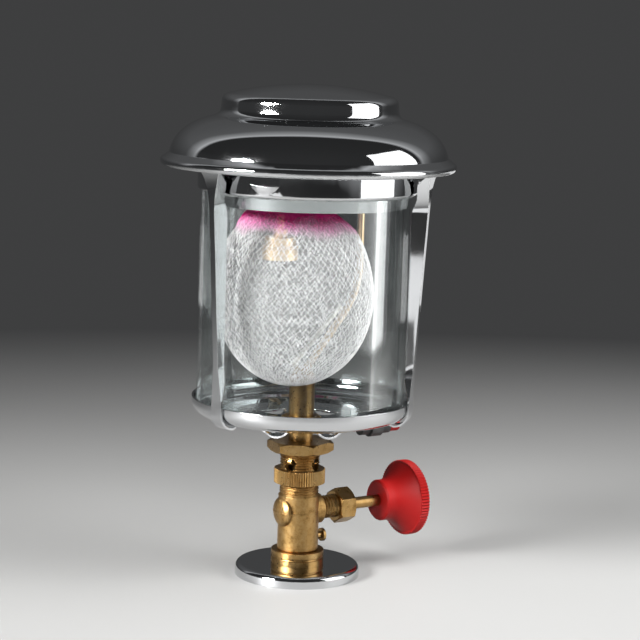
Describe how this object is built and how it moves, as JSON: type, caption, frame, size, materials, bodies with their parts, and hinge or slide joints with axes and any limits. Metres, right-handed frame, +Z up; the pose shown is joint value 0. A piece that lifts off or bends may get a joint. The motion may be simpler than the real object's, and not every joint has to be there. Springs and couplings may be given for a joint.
{
  "type": "gas lantern",
  "caption": "Upright gas lantern: chromed hood, glass and legs over a louvred dish, knitted mantle on a bent gas pipe, brass valve with a turning knob, round foot.",
  "frame": {"origin": "middle of the foot plate's underside, on the lantern's axis", "axes": "+Z up along the lantern's axis, +X along the valve spindle towards the knob"},
  "size_m": [0.11, 0.11, 0.1855],
  "materials": {
    "chrome": "polished",
    "brass": "machined",
    "steel": "bright",
    "red_plastic": "satin",
    "black_plastic": "matte",
    "rubber": "matte",
    "mantle_cloth": "open knit",
    "tie_thread": "twisted thread",
    "ceramic": "matte",
    "glass": "clear"
  },
  "bodies": {
    "lantern": {"foot_plate": "chrome", "dish": "chrome", "glass_ring": "chrome", "leg_left": "chrome", "leg_back": "chrome", "leg_right": "chrome", "hood": "chrome", "igniter_clip": "chrome", "foot_collar": "brass", "foot_nut": "brass", "valve_body": "brass", "gas_jet": "brass", "bleed_screw": "brass", "gland_nut": "brass", "mixer_tube": "brass", "dish_washer": "brass", "dish_lock_nut": "brass", "burner_tube": "brass", "gas_pipe": "brass", "burner_head": "brass", "depressor_pin": "steel", "electrode_wire": "steel", "igniter_body": "black_plastic", "socket_seal": "rubber", "gland_packing": "rubber", "mantle": "mantle_cloth", "mantle_tie": "tie_thread", "electrode_insulator": "ceramic", "glass": "glass"},
    "spindle": {"spindle": "brass", "valve_needle": "steel", "knob": "red_plastic", "knob_screw": "steel"},
    "air_ring": {"air_ring": "brass"},
    "igniter_button": {"igniter_button": "red_plastic"}
  },
  "joints": [
    {"name": "knob_turn", "type": "hinge", "parent": "lantern", "child": "spindle", "pos_m": [0.04, 0, 0.0245], "axis": [1, 0, 0], "range_deg": [0, 540]},
    {"name": "air_ring_slide", "type": "slide", "parent": "lantern", "child": "air_ring", "axis": [0, 0, 1], "range_m": [-0.0042, 0.0065]},
    {"name": "igniter_press", "type": "slide", "parent": "lantern", "child": "igniter_button", "axis": [-1, 0, 0], "range_m": [0, 0.0035], "stiffness_N_per_m": 800, "springref_m": -0.002}
  ]
}
